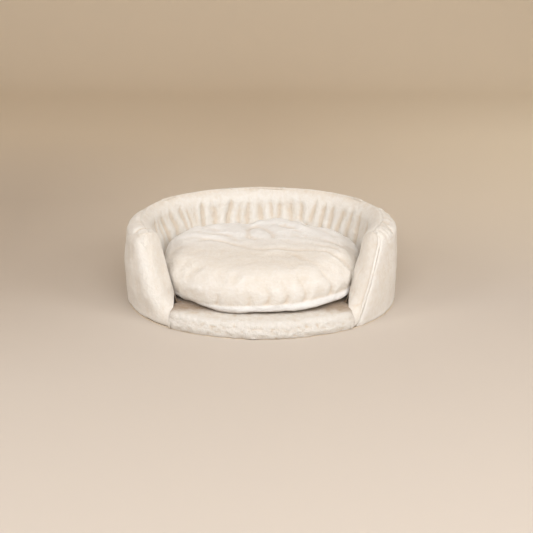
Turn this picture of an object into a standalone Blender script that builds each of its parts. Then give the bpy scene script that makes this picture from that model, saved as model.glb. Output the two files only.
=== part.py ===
"""Pet cushion bed: an oval padded base, a C-shaped padded wall round its back and sides, and a loose cushion
with a zipped cover. Metres, +Z up, front opening towards -Y, origin on the floor under the middle of the bed.
"""
from math import asin, cos, pi, radians, sin, sqrt

import bmesh
import bpy
from mathutils import Matrix, Vector

# ---- Driving dimensions ----
BED_WIDTH = 0.600
BED_DEPTH = 0.475
BED_HEIGHT = 0.190
WALL_THICKNESS = 0.060
RIM_RADIUS = 0.026
RIM_SEAM_DROP = 0.030
END_FOOT_INSET = 0.093
END_LEAN = radians(23)
BASE_HEIGHT = 0.038
SILL_RADIUS = 0.010

# ---- Cushion ----
CUSHION_HEIGHT = 0.092
CUSHION_SEAM_HEIGHT = 0.034
CUSHION_SIDE_GAP = 0.018
CUSHION_BACK_GAP = 0.0195
CUSHION_SILL_SETBACK = 0.044
CUSHION_WIDEST_Y = 0.010

# ---- Cloths, foams and clearances ----
PLUSH = 0.003
CUSHION_PLUSH = 0.0025
LINING = 0.0012
WADDING = 0.006
BAG_CLOTH = 0.0008
GAP = 0.0003
CUSHION_LAYER_GAP = 0.0010

# ---- Zip in the cushion's back edge ----
ZIP_LENGTH = 0.210
ZIP_OPENING = 0.012
COIL_RADIUS = 0.0008
COIL_SPREAD = 0.0017
COIL_SETBACK = 0.0004
TAPE_THICKNESS = 0.0008
STOP_LENGTH = 0.0025
SLIDER_LENGTH = 0.009
SLIDER_WIDTH = 0.0084
SLIDER_PLATE = 0.0009
SLIDER_NECK = 0.003
BRIDGE_RISE = 0.0019
BRIDGE_STRIP = 0.0007
BRIDGE_WIDTH = 0.0024
BRIDGE_LENGTH = 0.0068
PULL_LENGTH = 0.0135
PULL_WIDTH = 0.0056
PULL_THICKNESS = 0.001
PULL_EYE_LENGTH = 0.0052
PULL_BAR = 0.0012

# ---- Colours ----
CREAM = (0.855, 0.765, 0.645)
CREAM_SHADE = (0.800, 0.700, 0.565)
FOAM_YELLOW = (0.860, 0.790, 0.560)
FIBRE_WHITE = (0.880, 0.880, 0.860)
LINING_GREY = (0.560, 0.530, 0.490)
ZIP_CREAM = (0.760, 0.690, 0.570)
ZIP_METAL = (0.720, 0.700, 0.660)

# ---- Facets ----
WALL_STEPS = 40
OVAL_STEPS = 72
CUSHION_STEPS = 36
DOME_STEPS = 6
RIM_STEPS = 4
SILL_STEPS = 3
ZIP_STEPS = 20

# ---- Derived sizes ----
HALF_WIDTH = BED_WIDTH / 2
HALF_DEPTH = BED_DEPTH / 2
END_FOOT_X = HALF_WIDTH - END_FOOT_INSET
FOOT = LINING + GAP
SKIN = PLUSH + GAP
CORE = SKIN + WADDING + GAP
RIM_SEAM = BED_HEIGHT - RIM_SEAM_DROP

END_ANGLE = asin(sqrt(1 - (END_FOOT_X / HALF_WIDTH) ** 2))
END_POINT = Vector((END_FOOT_X, -HALF_DEPTH * sin(END_ANGLE), 0))
END_TANGENT = Vector((HALF_WIDTH * sin(END_ANGLE), HALF_DEPTH * cos(END_ANGLE), 0)).normalized()
END_RADIAL = Vector((END_TANGENT.y, -END_TANGENT.x, 0))
END_NORMAL = Vector((0, 0, sin(END_LEAN))) - END_TANGENT * cos(END_LEAN)
END_REACH = 0.13

CUSHION_HALF_WIDTH = HALF_WIDTH - WALL_THICKNESS - CUSHION_SIDE_GAP
CUSHION_BACK = HALF_DEPTH - WALL_THICKNESS - CUSHION_BACK_GAP
CUSHION_FRONT = CUSHION_SILL_SETBACK - HALF_DEPTH
CUSHION_FOOT = BASE_HEIGHT + GAP
SEAM_LEVEL = CUSHION_FOOT + CUSHION_SEAM_HEIGHT
FRONT_SQUEEZE = (CUSHION_WIDEST_Y - CUSHION_FRONT) / CUSHION_HALF_WIDTH
BACK_SQUEEZE = (CUSHION_BACK - CUSHION_WIDEST_Y) / CUSHION_HALF_WIDTH

ZIP_RADIUS = CUSHION_HALF_WIDTH / BACK_SQUEEZE
ZIP_CENTRE = Vector((0, CUSHION_BACK - ZIP_RADIUS, SEAM_LEVEL))
ZIP_HALF_ANGLE = ZIP_LENGTH / 2 / ZIP_RADIUS
COIL_LINE = ZIP_RADIUS - COIL_SETBACK
STOP_ANGLE = STOP_LENGTH / ZIP_RADIUS
CLEAR_ANGLE = GAP / ZIP_RADIUS
SLIDER_ANGLE = ZIP_HALF_ANGLE - STOP_ANGLE - CLEAR_ANGLE - SLIDER_LENGTH / 2 / ZIP_RADIUS
PLATE_LINE = COIL_RADIUS + GAP
PULL_LINE = COIL_LINE + PLATE_LINE + SLIDER_PLATE + BRIDGE_RISE / 2


# ---- Scene and helpers ----
for old in list(bpy.data.objects):
    bpy.data.objects.remove(old, do_unlink=True)

bed_collection = bpy.data.collections.new("pet_cushion_bed")
cutter_collection = bpy.data.collections.new("cutters")
for group in (bed_collection, cutter_collection):
    bpy.context.scene.collection.children.link(group)


def add_object(name, mesh, collection=bed_collection):
    """A new object of this mesh, linked to one of the two collections."""
    made = bpy.data.objects.new(name, mesh)
    collection.objects.link(made)
    return made


def hide_cutter(cutter):
    cutter.hide_render = True
    cutter.display_type = "WIRE"
    return cutter


def finish(part, colour, roughness, metallic=0.0, smooth_angle=50):
    """Gives a part its own material and smooth shading."""
    finish_material = bpy.data.materials.new(part.name)
    finish_material.use_nodes = True
    shader = finish_material.node_tree.nodes["Principled BSDF"]
    shader.inputs["Base Color"].default_value = (*colour, 1)
    shader.inputs["Roughness"].default_value = roughness
    shader.inputs["Metallic"].default_value = metallic
    part.data.materials.clear()
    part.data.materials.append(finish_material)
    part.data.shade_smooth()
    part.data.set_sharp_from_angle(angle=radians(smooth_angle))
    return part


def boolean(part, cutter, operation="DIFFERENCE"):
    modifier = part.modifiers.new(f"{operation.lower()}_{cutter.name}", "BOOLEAN")
    modifier.operation = operation
    modifier.object = cutter
    modifier.solver = "EXACT"


def bake_mesh(source, name, collection=bed_collection):
    """A plain mesh object of the evaluated source, with its doubles welded. The source is removed."""
    graph = bpy.context.evaluated_depsgraph_get()
    mesh = bpy.data.meshes.new_from_object(source.evaluated_get(graph))
    work = bmesh.new()
    work.from_mesh(mesh)
    bmesh.ops.remove_doubles(work, verts=work.verts, dist=1e-6)
    bmesh.ops.recalc_face_normals(work, faces=work.faces)
    work.to_mesh(mesh)
    work.free()
    made = add_object(name, mesh, collection)
    made.matrix_world = source.matrix_world
    bpy.data.objects.remove(source, do_unlink=True)
    return made


def flat_curve(name, points, closed):
    """A 2D curve through the given points, in the plane z = 0."""
    curve = bpy.data.curves.new(name, "CURVE")
    curve.dimensions = "2D"
    spline = curve.splines.new("POLY")
    spline.points.add(len(points) - 1)
    for spot, (x, y) in zip(spline.points, points):
        spot.co = (x, y, 0, 1)
    spline.use_cyclic_u = closed
    return curve


def sweep(name, section, path, collection=bed_collection):
    """A solid made by carrying a flat outline, as (outward, up) points, along an open path in plan."""
    outline = add_object(name + "_outline", flat_curve(name + "_outline", section, True), cutter_collection)
    rail = flat_curve(name, path, False)
    rail.dimensions = "3D"
    rail.twist_mode = "Z_UP"
    rail.fill_mode = "FULL"
    rail.bevel_mode = "OBJECT"
    rail.bevel_object = outline
    rail.use_fill_caps = True
    made = bake_mesh(add_object(name + "_rail", rail, cutter_collection), name, collection)
    bpy.data.objects.remove(outline, do_unlink=True)
    return made


def box(name, low, high, collection=bed_collection):
    """A block between two corners."""
    low, high = Vector(low), Vector(high)
    bpy.ops.mesh.primitive_cube_add(size=1, location=(low + high) / 2)
    made = bpy.context.active_object
    made.name = name
    made.scale = high - low
    for holder in list(made.users_collection):
        holder.objects.unlink(made)
    collection.objects.link(made)
    made.data.transform(Matrix.LocRotScale(made.location, None, made.scale))
    made.matrix_world = Matrix()
    return made


# ---- The wall ----
def wall_path():
    """The bed's outer oval from one front end round the back to the other, past both ends."""
    overrun = radians(7)
    start = -END_ANGLE - overrun
    span = pi + 2 * (END_ANGLE + overrun)
    turns = [start + span * step / WALL_STEPS for step in range(WALL_STEPS + 1)]
    return [(HALF_WIDTH * cos(turn), HALF_DEPTH * sin(turn)) for turn in turns]


def wall_arch(inset, inner_foot=FOOT):
    """The wall's cross-section as an arch, from the foot of its inner face over the rim to its outer foot."""
    radius = RIM_RADIUS - inset
    top = BED_HEIGHT - RIM_RADIUS
    left = RIM_RADIUS - WALL_THICKNESS
    quarter = [pi / 2 * step / RIM_STEPS for step in range(RIM_STEPS + 1)]
    points = [(inset - WALL_THICKNESS, inner_foot)]
    points += [(left - radius * cos(turn), top + radius * sin(turn)) for turn in quarter]
    points += [(-RIM_RADIUS + radius * sin(turn), top + radius * cos(turn)) for turn in quarter]
    return points + [(-inset, FOOT)]


def layer(outer_inset, inner_inset, inner_foot=FOOT):
    """The outline of a cloth or wadding layer that follows the arch between two depths."""
    return wall_arch(outer_inset, inner_foot) + wall_arch(inner_inset, inner_foot)[::-1]


def end_block(name, side, near, far):
    """A block square to a wall end's leaning face, from near to far metres in front of that face."""
    block = box(name, (near, -END_REACH, -END_REACH), (far, END_REACH, 3 * END_REACH), cutter_collection)
    lean_up = END_NORMAL.cross(END_RADIAL)
    place = Matrix((END_NORMAL, lean_up.cross(END_NORMAL), lean_up)).transposed().to_4x4()
    place.translation = END_POINT
    block.data.transform(place)
    if side < 0:
        block.data.transform(Matrix.Scale(-1, 4, (1, 0, 0)))
        block.data.flip_normals()
    return hide_cutter(block)


def cut_ends(part, inset):
    """Cuts both front ends of a wall piece along the leaning faces, a given depth behind them."""
    for side, label in ((1, "right"), (-1, "left")):
        boolean(part, end_block(f"{part.name}_cut_{label}", side, -inset, END_REACH))


outer_cover = sweep("wall_cover_outer", layer(0, PLUSH, RIM_SEAM + GAP), wall_path())
cut_ends(outer_cover, SKIN)
finish(outer_cover, CREAM, 0.85)

inner_face = -WALL_THICKNESS
inner_strip = [
    (inner_face, FOOT),
    (inner_face + PLUSH, FOOT),
    (inner_face + PLUSH, RIM_SEAM),
    (inner_face, RIM_SEAM),
]
inner_cover = sweep("wall_cover_inner", inner_strip, wall_path())
cut_ends(inner_cover, SKIN)
finish(inner_cover, CREAM_SHADE, 0.9)

wadding = sweep("wall_wadding", layer(SKIN, SKIN + WADDING), wall_path())
cut_ends(wadding, SKIN)
finish(wadding, FIBRE_WHITE, 0.95)

wall_foam = sweep("wall_foam", wall_arch(CORE), wall_path())
cut_ends(wall_foam, SKIN)
finish(wall_foam, FOAM_YELLOW, 0.9)

for side, label in ((1, "right"), (-1, "left")):
    end_panel = sweep(f"wall_end_{label}", wall_arch(0), wall_path())
    boolean(end_panel, end_block(f"end_slab_{label}", side, -PLUSH, 0), "INTERSECT")
    finish(end_panel, CREAM, 0.85)


# ---- The base ----
def oval_block(name, inset, bottom, top, rounding, collection=bed_collection):
    """An upright oval block with a rounded top edge, set in from the bed's outline."""
    bpy.ops.mesh.primitive_cylinder_add(
        vertices=OVAL_STEPS, radius=1, depth=top - bottom, location=(0, 0, (top + bottom) / 2)
    )
    made = bpy.context.active_object
    made.name = name
    for holder in list(made.users_collection):
        holder.objects.unlink(made)
    collection.objects.link(made)
    size = Matrix.Diagonal((HALF_WIDTH - inset, HALF_DEPTH - inset, 1, 1))
    made.data.transform(size @ Matrix.Translation(made.location))
    made.matrix_world = Matrix()
    if rounding > 0:
        work = bmesh.new()
        work.from_mesh(made.data)
        rim = [
            edge
            for edge in work.edges
            if all(abs(corner.co.z - top) < 1e-6 for corner in edge.verts)
        ]
        bmesh.ops.bevel(
            work, geom=rim, offset=rounding, segments=SILL_STEPS, profile=0.5, affect="EDGES"
        )
        work.to_mesh(made.data)
        work.free()
    return made


def cut_for_wall(part, clearance):
    """Cuts away the room that the wall takes, up to its inner face and its leaning ends."""
    beyond, below = 0.02, -0.02
    room = [
        (-WALL_THICKNESS - clearance, below),
        (beyond, below),
        (beyond, BED_HEIGHT),
        (-WALL_THICKNESS - clearance, BED_HEIGHT),
    ]
    cutter = sweep(part.name + "_wall_room", room, wall_path(), cutter_collection)
    cut_ends(cutter, -clearance)
    boolean(part, hide_cutter(cutter))


base_cover = oval_block("base_cover", 0, FOOT, BASE_HEIGHT, SILL_RADIUS)
cut_for_wall(base_cover, GAP)
cover_hollow = oval_block(
    "base_cover_hollow", PLUSH, FOOT - LINING, BASE_HEIGHT - PLUSH, SILL_RADIUS - PLUSH, cutter_collection
)
cut_for_wall(cover_hollow, GAP + PLUSH)
boolean(base_cover, hide_cutter(cover_hollow))
finish(base_cover, CREAM, 0.85)

base_foam = oval_block("base_foam", SKIN, FOOT, BASE_HEIGHT - SKIN, SILL_RADIUS - SKIN)
cut_for_wall(base_foam, GAP + SKIN)
finish(base_foam, FOAM_YELLOW, 0.9)

underside = oval_block("underside_lining", PLUSH / 2, 0, LINING, 0)
finish(underside, LINING_GREY, 0.95)


# ---- The cushion ----
def dome(rise, direction):
    """Half of the cushion's turned profile, as (radius, height) points from its pole to the seam."""
    fullness_out, fullness_up, hem = 0.82, 0.72, 0.0025
    points = []
    for step in range(DOME_STEPS):
        turn = pi / 2 * step / DOME_STEPS
        height = rise * cos(turn) ** fullness_up
        points.append((CUSHION_HALF_WIDTH * sin(turn) ** fullness_out, SEAM_LEVEL + direction * height))
    points.append((CUSHION_HALF_WIDTH, SEAM_LEVEL + direction * hem))
    return points + [(CUSHION_HALF_WIDTH, SEAM_LEVEL + direction * GAP / 2)]


def set_in(profile, depth):
    """The profile moved inwards by a depth, or by more where the turned shape isn't squeezed as much."""
    squeeze = min(FRONT_SQUEEZE, BACK_SQUEEZE)
    moved = []
    for index, (radius, height) in enumerate(profile):
        before = profile[max(index - 1, 0)]
        after = profile[min(index + 1, len(profile) - 1)]
        along = Vector((after[0] - before[0], after[1] - before[1])).normalized()
        outward = Vector((abs(along.y), abs(along.x)))
        if index == 0:
            outward = Vector((0, 1))
        if index >= len(profile) - 2:
            outward = Vector((1, 0))
        side = 1 if height > SEAM_LEVEL else -1
        moved.append((radius - depth * outward.x / squeeze, height - side * depth * outward.y))
    return moved


def turned(name, profile):
    """A profile turned about the cushion's widest line, then squeezed to its front and back halves."""
    mesh = bpy.data.meshes.new(name)
    edges = [(first, first + 1) for first in range(len(profile) - 1)]
    mesh.from_pydata([(radius, 0, height) for radius, height in profile], edges, [])
    outline = add_object(name + "_profile", mesh, cutter_collection)
    screw = outline.modifiers.new("turn", "SCREW")
    screw.steps = screw.render_steps = CUSHION_STEPS
    screw.use_merge_vertices = True
    screw.merge_threshold = 1e-5
    graph = bpy.context.evaluated_depsgraph_get()
    made_mesh = bpy.data.meshes.new_from_object(outline.evaluated_get(graph))
    bpy.data.objects.remove(outline, do_unlink=True)
    for corner in made_mesh.vertices:
        squeeze = BACK_SQUEEZE if corner.co.y > 0 else FRONT_SQUEEZE
        corner.co.y = CUSHION_WIDEST_Y + corner.co.y * squeeze
    return add_object(name, made_mesh)


def cloth_shell(name, profile, thickness):
    made = turned(name, profile)
    shell = made.modifiers.new("cloth", "SOLIDIFY")
    shell.thickness = thickness
    shell.offset = -1
    shell.use_even_offset = True
    return made


RISE_UP = CUSHION_HEIGHT - CUSHION_SEAM_HEIGHT
RISE_DOWN = CUSHION_SEAM_HEIGHT
BAG_INSET = CUSHION_PLUSH + CUSHION_LAYER_GAP
FILLING_INSET = BAG_INSET + BAG_CLOTH + CUSHION_LAYER_GAP

cushion_parts = []
upper_dome = dome(RISE_UP, 1)
lower_dome = dome(RISE_DOWN, -1)
cover_top = cloth_shell("cushion_cover_top", upper_dome, CUSHION_PLUSH)
cover_bottom = cloth_shell("cushion_cover_bottom", lower_dome[::-1], CUSHION_PLUSH)
bag_upper = cloth_shell("cushion_bag_upper", set_in(upper_dome, BAG_INSET), BAG_CLOTH)
bag_lower = cloth_shell("cushion_bag_lower", set_in(lower_dome, BAG_INSET)[::-1], BAG_CLOTH)
filling_profile = set_in(upper_dome, FILLING_INSET)[:-1] + set_in(lower_dome, FILLING_INSET)[-2::-1]
filling = turned("cushion_filling", filling_profile)
cushion_parts += [cover_top, cover_bottom, bag_upper, bag_lower, filling]


# ---- The zip ----
def zip_arc(radius, half_angle, steps=ZIP_STEPS):
    """Points of an arc about the zip's centre, symmetric about the back, as seen from above."""
    turns = [half_angle * (2 * step / steps - 1) for step in range(steps + 1)]
    return [(radius * sin(-turn), ZIP_CENTRE.y + radius * cos(turn)) for turn in turns]


def raised(section):
    """A section given about the seam, lifted to the seam's height."""
    return [(out, up + SEAM_LEVEL) for out, up in section]


def block_section(low_out, high_out, low_up, high_up):
    return [(low_out, low_up), (high_out, low_up), (high_out, high_up), (low_out, high_up)]


room_reach = 0.006
zip_room = sweep(
    "zip_room",
    raised(block_section(-room_reach, room_reach, -ZIP_OPENING / 2, ZIP_OPENING / 2)),
    zip_arc(ZIP_RADIUS, ZIP_HALF_ANGLE + CLEAR_ANGLE),
    cutter_collection,
)
hide_cutter(zip_room)
for cover in (cover_top, cover_bottom):
    boolean(cover, zip_room)

COIL_SIDES = 8
tape_low = COIL_SPREAD + COIL_RADIUS + GAP
tape_high = ZIP_OPENING / 2 - GAP
for label, direction in (("upper", 1), ("lower", -1)):
    turns = [2 * pi * (step + 0.5) / COIL_SIDES for step in range(COIL_SIDES)]
    coil_section = [
        (COIL_RADIUS * cos(turn), COIL_RADIUS * sin(turn) + direction * COIL_SPREAD) for turn in turns
    ]
    coil_angle = ZIP_HALF_ANGLE - STOP_ANGLE - CLEAR_ANGLE
    coil = sweep(f"zip_coil_{label}", raised(coil_section), zip_arc(COIL_LINE, coil_angle))
    low, high = sorted((direction * tape_low, direction * tape_high))
    tape_section = block_section(-TAPE_THICKNESS / 2, TAPE_THICKNESS / 2, low, high)
    tape = sweep(f"zip_tape_{label}", raised(tape_section), zip_arc(COIL_LINE, ZIP_HALF_ANGLE))
    cushion_parts += [coil, tape]

stop_reach = COIL_SPREAD + COIL_RADIUS
for label, direction in (("left", 1), ("right", -1)):
    corner = Vector((STOP_LENGTH / 2, COIL_RADIUS, stop_reach))
    stop = box(f"zip_stop_{label}", -corner, corner)
    turn = direction * (ZIP_HALF_ANGLE - STOP_ANGLE / 2)
    swing = Matrix.Translation(ZIP_CENTRE) @ Matrix.Rotation(turn, 4, "Z")
    stop.data.transform(swing @ Matrix.Translation((0, COIL_LINE, 0)))
    cushion_parts.append(stop)

for part in cushion_parts:
    if part.name.startswith("cushion_cover"):
        finish(part, CREAM, 0.85)
    elif part.name.startswith("zip"):
        finish(part, ZIP_CREAM, 0.55)
    else:
        finish(part, FIBRE_WHITE, 0.95)


def empty(name, parent, location, turn=0.0):
    """An empty on a joint's axis."""
    made = bpy.data.objects.new(name, None)
    made.empty_display_size = 0.02
    bed_collection.objects.link(made)
    made.parent = parent
    made.location = location
    made.rotation_euler = (0, 0, turn)
    return made


cushion_seat = empty("cushion_lift_axis", None, (0, CUSHION_WIDEST_Y, CUSHION_FOOT))
bpy.context.view_layer.update()
for part in cushion_parts:
    part.parent = cushion_seat
    part.matrix_parent_inverse = cushion_seat.matrix_world.inverted()

slider_axis = empty("zip_slide_axis", cushion_seat, ZIP_CENTRE - cushion_seat.location, -SLIDER_ANGLE)
pull_axis = empty("zip_pull_axis", slider_axis, (0, PULL_LINE, 0))


def union(name, body, others):
    """One solid of several blocks that reach into each other."""
    for other in others:
        boolean(body, other, "UNION")
    made = bake_mesh(body, name)
    for other in others:
        bpy.data.objects.remove(other, do_unlink=True)
    return made


half_length = SLIDER_LENGTH / 2
half_width = SLIDER_WIDTH / 2
plate_inner = COIL_LINE + PLATE_LINE
plate_outer = plate_inner + SLIDER_PLATE
back_outer = COIL_LINE - PLATE_LINE
back_inner = back_outer - SLIDER_PLATE
bite = SLIDER_PLATE / 3
neck_half = COIL_SPREAD - COIL_RADIUS - GAP
bridge_top = plate_outer + BRIDGE_RISE
front_plate = box(
    "front_plate", (-half_length, plate_inner, -half_width), (half_length, plate_outer, half_width)
)
joined_on = [
    box(
        "back_plate",
        (-half_length, back_inner, -half_width),
        (half_length, back_outer, half_width),
        cutter_collection,
    ),
    box(
        "neck",
        (-SLIDER_NECK / 2, back_outer - bite, -neck_half),
        (SLIDER_NECK / 2, plate_inner + bite, neck_half),
        cutter_collection,
    ),
]
for direction in (-1, 1):
    foot_out = direction * BRIDGE_LENGTH / 2
    foot_in = foot_out - direction * BRIDGE_STRIP
    low, high = sorted((foot_in, foot_out))
    joined_on.append(
        box(
            f"bridge_foot_{direction}",
            (low, plate_outer - bite, -BRIDGE_WIDTH / 2),
            (high, bridge_top + BRIDGE_STRIP, BRIDGE_WIDTH / 2),
            cutter_collection,
        )
    )
bridge_span = BRIDGE_LENGTH / 2 - BRIDGE_STRIP / 2
bar_half = BRIDGE_WIDTH / 2 - bite / 4
joined_on.append(
    box(
        "bridge_bar",
        (-bridge_span, bridge_top, -bar_half),
        (bridge_span, bridge_top + BRIDGE_STRIP - bite / 4, bar_half),
        cutter_collection,
    )
)
slider = union("zip_slider", front_plate, joined_on)
slider.parent = slider_axis
finish(slider, ZIP_METAL, 0.35, 1.0, 30)


def pull_plate():
    """The pull: a plate with a rectangular eye, lying along -X from its bar under the slider's bridge."""
    plate = box(
        "pull_plate",
        (-PULL_LENGTH, -PULL_THICKNESS / 2, -PULL_WIDTH / 2),
        (PULL_BAR / 2, PULL_THICKNESS / 2, PULL_WIDTH / 2),
    )
    eye_half = BRIDGE_WIDTH / 2 + 2 * GAP
    eye = box(
        "pull_eye",
        (-PULL_EYE_LENGTH - PULL_BAR / 2, -PULL_THICKNESS, -eye_half),
        (-PULL_BAR / 2, PULL_THICKNESS, eye_half),
        cutter_collection,
    )
    boolean(plate, hide_cutter(eye))
    made = bake_mesh(plate, "zip_pull")
    bpy.data.objects.remove(eye, do_unlink=True)
    return made


pull = pull_plate()
pull.parent = pull_axis
finish(pull, ZIP_METAL, 0.35, 1.0, 30)

bpy.context.view_layer.update()
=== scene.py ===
"""The looks of the pet cushion bed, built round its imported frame: plush panels on the wall and base, a loose
stuffed cushion with a zip in its back edge, and the foams, fibre and lining inside. Metres, +Z up.
"""

from itertools import product
from math import cos, pi, radians, sin

import bmesh
import bpy
import numpy as np
from mathutils import Matrix, Vector


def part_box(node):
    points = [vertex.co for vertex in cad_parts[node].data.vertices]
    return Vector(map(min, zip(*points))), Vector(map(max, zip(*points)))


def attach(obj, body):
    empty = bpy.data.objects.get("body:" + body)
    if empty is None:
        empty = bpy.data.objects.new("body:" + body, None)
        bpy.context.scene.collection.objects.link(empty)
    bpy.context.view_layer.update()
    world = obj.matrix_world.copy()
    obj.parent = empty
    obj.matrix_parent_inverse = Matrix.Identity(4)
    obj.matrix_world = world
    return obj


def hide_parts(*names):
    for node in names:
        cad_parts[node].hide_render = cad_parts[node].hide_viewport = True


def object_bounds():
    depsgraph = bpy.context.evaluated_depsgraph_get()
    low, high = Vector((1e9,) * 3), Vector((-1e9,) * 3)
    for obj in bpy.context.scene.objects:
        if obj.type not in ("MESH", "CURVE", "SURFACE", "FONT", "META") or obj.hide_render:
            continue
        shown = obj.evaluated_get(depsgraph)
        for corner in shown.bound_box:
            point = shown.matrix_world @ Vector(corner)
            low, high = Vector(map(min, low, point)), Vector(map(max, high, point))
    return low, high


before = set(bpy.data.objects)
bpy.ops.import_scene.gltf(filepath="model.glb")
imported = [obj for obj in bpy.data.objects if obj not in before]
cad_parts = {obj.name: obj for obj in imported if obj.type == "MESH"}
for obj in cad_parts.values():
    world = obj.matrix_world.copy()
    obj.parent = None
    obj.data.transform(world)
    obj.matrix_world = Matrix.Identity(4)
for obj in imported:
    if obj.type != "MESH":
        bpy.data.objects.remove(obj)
cad_low, cad_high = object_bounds()

# ---- Sizes, from the frame and from the bed's own design ----
HALF_WIDTH = cad_high.x
HALF_DEPTH = cad_high.y
BED_TOP = cad_high.z
PLUSH = 0.003
THIN_PLUSH = 0.002
WALL_THICKNESS = HALF_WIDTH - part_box("wall_cover_inner")[1].x + PLUSH
RIM_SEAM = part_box("wall_cover_inner")[1].z
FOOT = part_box("base_cover")[0].z
BASE_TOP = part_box("base_cover")[1].z
END_FOOT_X = 0.207
END_LEAN = radians(23)

CUSHION_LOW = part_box("cushion_cover_bottom")[0]
CUSHION_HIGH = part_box("cushion_cover_top")[1]
SEAM_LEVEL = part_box("cushion_cover_top")[0].z
CUSHION_WIDEST_Y = 0.010
ZIP_OPENING = 0.012
ZIP_HALF_ANGLE = radians(18.07)
ZIP_RADIUS = CUSHION_HIGH.x ** 2 / (CUSHION_HIGH.y - CUSHION_WIDEST_Y)
ZIP_CENTRE_Y = CUSHION_HIGH.y - ZIP_RADIUS


# ---- Small tools ----
def deselect_all():
    if bpy.context.object and bpy.context.object.mode != "OBJECT":
        bpy.ops.object.mode_set(mode="OBJECT")
    bpy.ops.object.select_all(action="DESELECT")


def pick(piece):
    """Makes a piece the only selected one."""
    deselect_all()
    piece.select_set(True)
    bpy.context.view_layer.objects.active = piece


def places(mesh):
    """A mesh's corners as rows of x, y, z."""
    found = np.empty(len(mesh.vertices) * 3)
    mesh.vertices.foreach_get("co", found)
    return found.reshape(-1, 3)


def outward(mesh):
    """A mesh's corner normals as rows of x, y, z."""
    found = np.empty(len(mesh.vertices) * 3)
    mesh.vertex_normals.foreach_get("vector", found)
    return found.reshape(-1, 3)


def move_to(mesh, spots):
    mesh.vertices.foreach_set("co", np.ascontiguousarray(spots, dtype=np.float32).ravel())
    mesh.update()


def apply_modifiers(piece):
    pick(piece)
    for modifier in list(piece.modifiers):
        bpy.ops.object.modifier_apply(modifier=modifier.name)


def merge_corners(piece, gap):
    """Joins the corners that lie closer together than the gap."""
    pick(piece)
    bpy.ops.object.mode_set(mode="EDIT")
    bpy.ops.mesh.select_all(action="SELECT")
    bpy.ops.mesh.remove_doubles(threshold=gap)
    bpy.ops.object.mode_set(mode="OBJECT")


def own_copy(source, name):
    """A new piece with its own copy of another's mesh."""
    made = bpy.data.objects.new(name, source.data.copy())
    bpy.context.scene.collection.objects.link(made)
    made.data.name = name
    return made


def ease(value, low, high):
    """0 below low, 1 above high and smooth between."""
    share = np.clip((value - low) / (high - low), 0, 1)
    return share * share * (3 - 2 * share)


def bell(distance, width, power=2):
    """1 at no distance, falling off to 0 on both sides, with about a third left at one width."""
    return np.exp(-(np.abs(distance / width) ** power))


def turn_from(turn, heading, wobble=0.0):
    """How far a turn is past a heading in degrees, between -pi and pi."""
    return np.angle(np.exp(1j * (turn - radians(heading) - wobble)))


LATTICE_SIDE = 64
LATTICE = np.random.RandomState(11).uniform(-1, 1, (LATTICE_SIDE,) * 3)


def rumple(spots, size, start=0):
    """Smooth bumps between -1 and 1, about this size apart; size is one number or one for each axis."""
    scaled = spots / np.asarray(size) + 7.31 * start
    cell = np.floor(scaled).astype(int)
    share = scaled - cell
    share = share * share * (3 - 2 * share)
    total = np.zeros(len(spots))
    for step in product((0, 1), repeat=3):
        weight = np.prod(np.where(step, share, 1 - share), axis=1)
        x, y, z = ((cell + step) % LATTICE_SIDE).T
        total += weight * LATTICE[x, y, z]
    return total


def creased(spots, size, start=0):
    """Rounded bumps between sharp valleys, from 0 in the valleys to about 1."""
    return np.sqrt(np.abs(rumple(spots, size, start)))


def smooth_places(mesh, rounds):
    """The corners after each has moved this many times to the middle of its neighbours."""
    pairs = np.empty(len(mesh.edges) * 2, dtype=int)
    mesh.edges.foreach_get("vertices", pairs)
    first, second = pairs.reshape(-1, 2).T
    spots = places(mesh)
    near = np.concatenate((first, second))
    far = np.concatenate((second, first))
    count = np.bincount(near, minlength=len(spots))[:, None]
    for _ in range(rounds):
        summed = [np.bincount(near, weights=spots[far, axis], minlength=len(spots)) for axis in range(3)]
        spots = np.stack(summed, -1) / np.maximum(count, 1)
    return spots


def mark_relief(piece, rounds=26, depth=0.0016):
    """Writes how far each corner lies below or above its surroundings, as 0.5 for level, for the plush's
    painted shade in the hollows and painted highlight on the ridges.
    """
    mesh = piece.data
    proud = np.sum((places(mesh) - smooth_places(mesh, rounds)) * outward(mesh), axis=1)
    fine = np.sum((places(mesh) - smooth_places(mesh, 5)) * outward(mesh), axis=1)
    level = np.clip(0.5 + 0.5 * (proud + fine) / depth, 0, 1)
    relief = mesh.attributes.get("relief") or mesh.attributes.new("relief", "FLOAT", "POINT")
    relief.data.foreach_set("value", level.astype(np.float32))


def mark(piece, name, values):
    layer = piece.data.attributes.new(name, "FLOAT", "POINT")
    layer.data.foreach_set("value", np.clip(values, 0, 1).astype(np.float32))


# ---- Cloth panels ----
def cloth_grid(name, columns, rows, lay_out):
    """A grid of cloth. lay_out takes the shares across and along, from 0 to 1, and gives places and outward
    directions, and the grid's faces point that way."""
    deselect_all()
    bpy.ops.mesh.primitive_grid_add(x_subdivisions=columns, y_subdivisions=rows, size=1)
    made = bpy.context.active_object
    made.name = name
    made.data.name = name
    flat = places(made.data) + 0.5
    spots, away = lay_out(flat[:, 0], flat[:, 1])
    move_to(made.data, spots)
    if np.sum(outward(made.data) * away) < 0:
        made.data.flip_normals()
        made.data.update()
    return made


def line_cloth(piece, thickness):
    """Gives an open panel its thickness, on its inner side."""
    shell = piece.modifiers.new("cloth", "SOLIDIFY")
    shell.thickness = thickness
    shell.offset = -1
    shell.use_rim = True
    apply_modifiers(piece)
    piece.data.shade_smooth()
    return piece


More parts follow.
